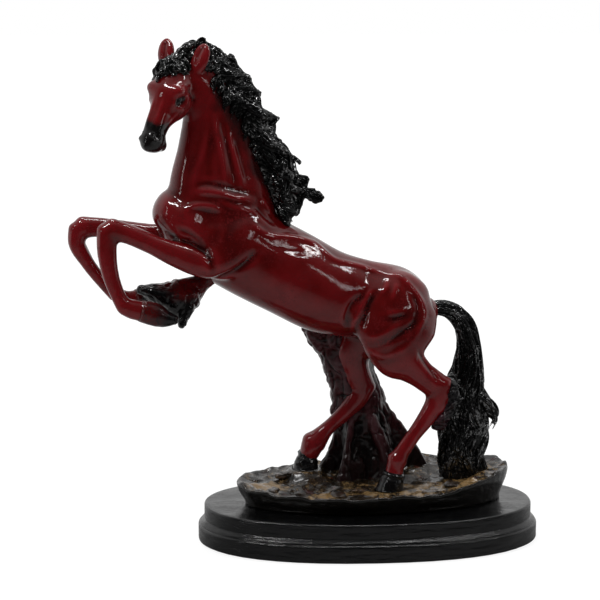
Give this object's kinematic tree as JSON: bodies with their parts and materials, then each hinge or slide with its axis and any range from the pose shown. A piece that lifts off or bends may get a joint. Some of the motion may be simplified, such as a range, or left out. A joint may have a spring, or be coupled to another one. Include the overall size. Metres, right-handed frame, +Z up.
{
  "type": "horse statue",
  "caption": "Statuette of a horse rearing on its hind legs beside a tree trunk, on a rocky slab over a stepped oval plinth.",
  "frame": {"origin": "middle of the flat underside of the felt, which the statuette stands on", "axes": "+Z up; X along the plinth, with the horse facing -X; the horse's left side towards -Y"},
  "size_m": [0.2702, 0.114, 0.2906],
  "materials": {
    "red_lacquer": "deep red lacquer over cast resin",
    "black_lacquer": "black lacquer over cast resin",
    "eye_black": "polished black bead",
    "bark": "brown-purple lacquer, rough casting",
    "rock": "grey, ochre and black paint under lacquer",
    "plinth_black": "brushed black lacquer",
    "steel": "plain drawn steel",
    "felt": "black felt"
  },
  "bodies": {
    "root": {"horse_body": "red_lacquer", "horse_head": "red_lacquer", "left_fore_leg": "red_lacquer", "right_fore_leg": "red_lacquer", "left_hind_leg": "red_lacquer", "right_hind_leg": "red_lacquer", "left_fore_hoof": "black_lacquer", "right_fore_hoof": "black_lacquer", "left_hind_hoof": "black_lacquer", "right_hind_hoof": "black_lacquer", "left_fore_wire": "steel", "right_fore_wire": "steel", "left_hind_wire": "steel", "right_hind_wire": "steel", "left_eye": "eye_black", "right_eye": "eye_black", "neck_dowel": "steel", "tail_dowel": "steel", "mane": "black_lacquer", "forelock": "black_lacquer", "tail": "black_lacquer", "tree_trunk": "bark", "hoof_brace": "black_lacquer", "ground_slab": "rock", "plinth": "plinth_black", "felt_sheet": "felt", "plinth_screw_front": "steel", "plinth_screw_back": "steel"}
  },
  "joints": []
}
